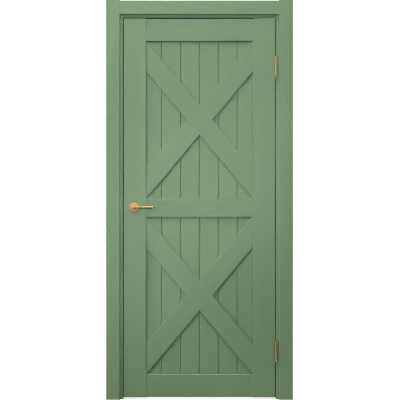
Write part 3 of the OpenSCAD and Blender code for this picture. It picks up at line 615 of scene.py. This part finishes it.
def coil_rows(low, high, wire, turns):
    """A wire wound round X inside a box: a circle across the wire, carried along a helix whose
    first and last turn lie closed, wire on wire, while those between share the rest of the
    length."""
    turn_steps, wire_sides = 32, 12
    share = np.linspace(0, 1, turns * turn_steps + 1)
    opened = np.clip((share * turns - 1) / (turns - 2), 0, 1)
    closed = np.clip(share * turns, 0, 1) + np.clip(share * turns - turns + 1, 0, 1)
    angle = 2 * np.pi * turns * share
    outwards = np.stack([np.zeros_like(angle), np.cos(angle), np.sin(angle)], axis=-1)
    middle = (low + high) / 2
    length = high[0] - low[0] - wire
    middle_line = outwards * ((high[1] - low[1] - wire) / 2) + (0, middle[1], middle[2])
    middle_line[:, 0] = low[0] + wire / 2 + wire * closed + (length - 2 * wire) * opened
    along = np.gradient(middle_line, axis=0)
    across = np.cross(outwards, along / np.linalg.norm(along, axis=1, keepdims=True))
    round_wire = np.linspace(0, 2 * np.pi, wire_sides, endpoint=False)[None, :, None]
    rows = outwards[:, None] * np.cos(round_wire) + across[:, None] * np.sin(round_wire)
    rows = middle_line[:, None] + rows * (wire / 2)
    first, last = (np.broadcast_to(middle_line[end], rows[:1].shape) for end in (0, -1))
    return np.concatenate([first, rows, last])


spring_wire, spring_turns = 0.0009, 9
zinc = plated_steel("zinc_plate", colour(186, 188, 188), roughness=0.3)
bolt_steel = plated_steel("blackened_steel", colour(104, 106, 102), roughness=0.4)
plate_brass = brass(
    "plate_brass", colour(212, 170, 104), colour(194, 152, 92), roughness=0.28, grain=(40, 1200, 40)
)
dress(zinc, "latch_case", "latch_follower", "spindle", "rose_bolts", "lever_grub_screws")
dress(plate_brass, "latch_forend", "strike_plate")
dress(bolt_steel, "latch_bolt")
low, high = (np.array(corner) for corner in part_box("latch_spring"))
coil = coil_rows(low, high, spring_wire, spring_turns)
wound_spring = closed_skin("wound_spring", [coil], zinc, "leaf", "steel", "latch_spring")
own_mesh(wound_spring)


# Levers and roses
# Turned and polished brass: a round rose, a neck, and an arm with a ring, a slim waist and a
# thicker grip that ends in a point. The roses are bolted through the case to each other.
lever_brass = brass(
    "lever_brass",
    colour(252, 222, 158),
    colour(240, 204, 138),
    roughness=0.14,
    grain=(1500, 200, 200),
    depth=0.000001,
)
rose_brass = brass(
    "rose_brass", colour(252, 218, 160), colour(240, 203, 146), roughness=0.7, grain=(700, 700, 700)
)
dress(lever_brass, "front_lever", "back_lever")
dress(rose_brass, "front_rose", "back_rose")


# Screws
# Brass wood screws with a cross recess, a cut thread and a gimlet point hold wings, strike and
# forend. Four long ones of plated steel draw up the mitres of the frame.
screw_radius, screw_head_radius = 0.002, 0.004
screw_length, corner_screw_length = 0.025, 0.07
thread_pitch, thread_depth, plain_share = 0.0018, 0.0006, 0.3
flank_slope, flank_start = 2, 0.8
point_length, point_curve = 0.007, 0.6
recess_reach, recess_half_width, recess_depth, recess_slope = 0.0026, 0.0006, 0.0014, 4
hinge_screw_pitch = 0.025


def screw_rows(length):
    """A screw that points along -Z from its head's top at 0. Rows run from the recess out over
    the head, down its cone and along the thread to the point. The recess is deepest on the
    cross's two axes. The thread's ridge lies where height over pitch plus turns is whole, and
    shrinks with the core at the point."""
    sides, head_rings, rows_to_a_turn = 32, 14, 8
    turn = np.linspace(0, 2 * np.pi, sides, endpoint=False)
    spread = np.linspace(0, screw_head_radius, head_rings)[:, None]
    beside = spread * np.minimum(abs(np.cos(turn)), abs(np.sin(turn)))
    slot = np.clip(1 - beside / recess_half_width, 0, 1)
    slot = slot * np.clip(recess_slope - recess_slope * spread / recess_reach, 0, 1)
    head_foot = screw_radius - screw_head_radius
    shank_rows = int(length / thread_pitch * rows_to_a_turn)
    height = np.linspace(head_foot, -length, shank_rows)[:, None]
    taper = np.clip((height + length) / point_length, 0, 1) ** point_curve
    ridge = 1 - abs(2 * ((height / thread_pitch + turn / (2 * np.pi)) % 1) - 1)
    plain = np.clip(1 + (height + plain_share * length) / thread_pitch, 0, 1)
    crest = np.maximum(plain, np.clip(flank_slope * ridge - flank_start, 0, 1))
    width = taper * (screw_radius - thread_depth * (1 - crest))
    radius = np.concatenate([np.broadcast_to(spread, slot.shape), width])
    level = np.concatenate([-recess_depth * slot, np.broadcast_to(height, width.shape)])
    return np.stack([radius * np.cos(turn), radius * np.sin(turn), level], axis=-1)


def driven(length, places, way):
    """Screws of that length at these points, all driven along X, the way of the sign."""
    rows = screw_rows(length)[..., [2, 0, 1]] * (-way, 1, -way)
    return [rows + place for place in places]


screw_brass = brass(
    "screw_brass",
    colour(206, 164, 100),
    colour(186, 144, 86),
    roughness=0.25,
    grain=(900, 900, 900),
)
rim = Vector((0, screw_head_radius, screw_head_radius))
for body, way in (("frame", 1), ("leaf", -1)):
    node = f"{body}_hinge_screws"
    low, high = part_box(node)
    face = low.x if way > 0 else high.x
    near, far = (low + rim).y, (high - rim).y
    places = []
    for wing in (f"upper_hinge_{body}_wing", f"lower_hinge_{body}_wing"):
        middle = sum(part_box(wing), Vector()) / 2
        for step, row in ((-1.5, far), (-0.5, near), (0.5, near), (1.5, far)):
            places.append((face, row, middle.z + step * hinge_screw_pitch))
    screws = driven(screw_length, places, way)
    closed_skin(f"threaded_{node}", screws, screw_brass, body, "brass", node)

for body, node, way in (("frame", "strike_screws", -1), ("leaf", "latch_screws", 1)):
    low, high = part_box(node)
    face = low.x if way > 0 else high.x
    heights = (low + rim).z, (high - rim).z
    places = [(face, (low.y + high.y) / 2, height) for height in heights]
    screws = driven(screw_length, places, way)
    closed_skin(f"threaded_{node}", screws, screw_brass, body, "brass", node)

low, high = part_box("corner_screws")
corner_screws = []
for face, way in ((low.x, 1), (high.x, -1)):
    places = [(face, row, (low.z + high.z) / 2) for row in ((low + rim).y, (high - rim).y)]
    corner_screws += driven(corner_screw_length, places, way)
closed_skin("threaded_corner_screws", corner_screws, zinc, "frame", "steel", "corner_screws")
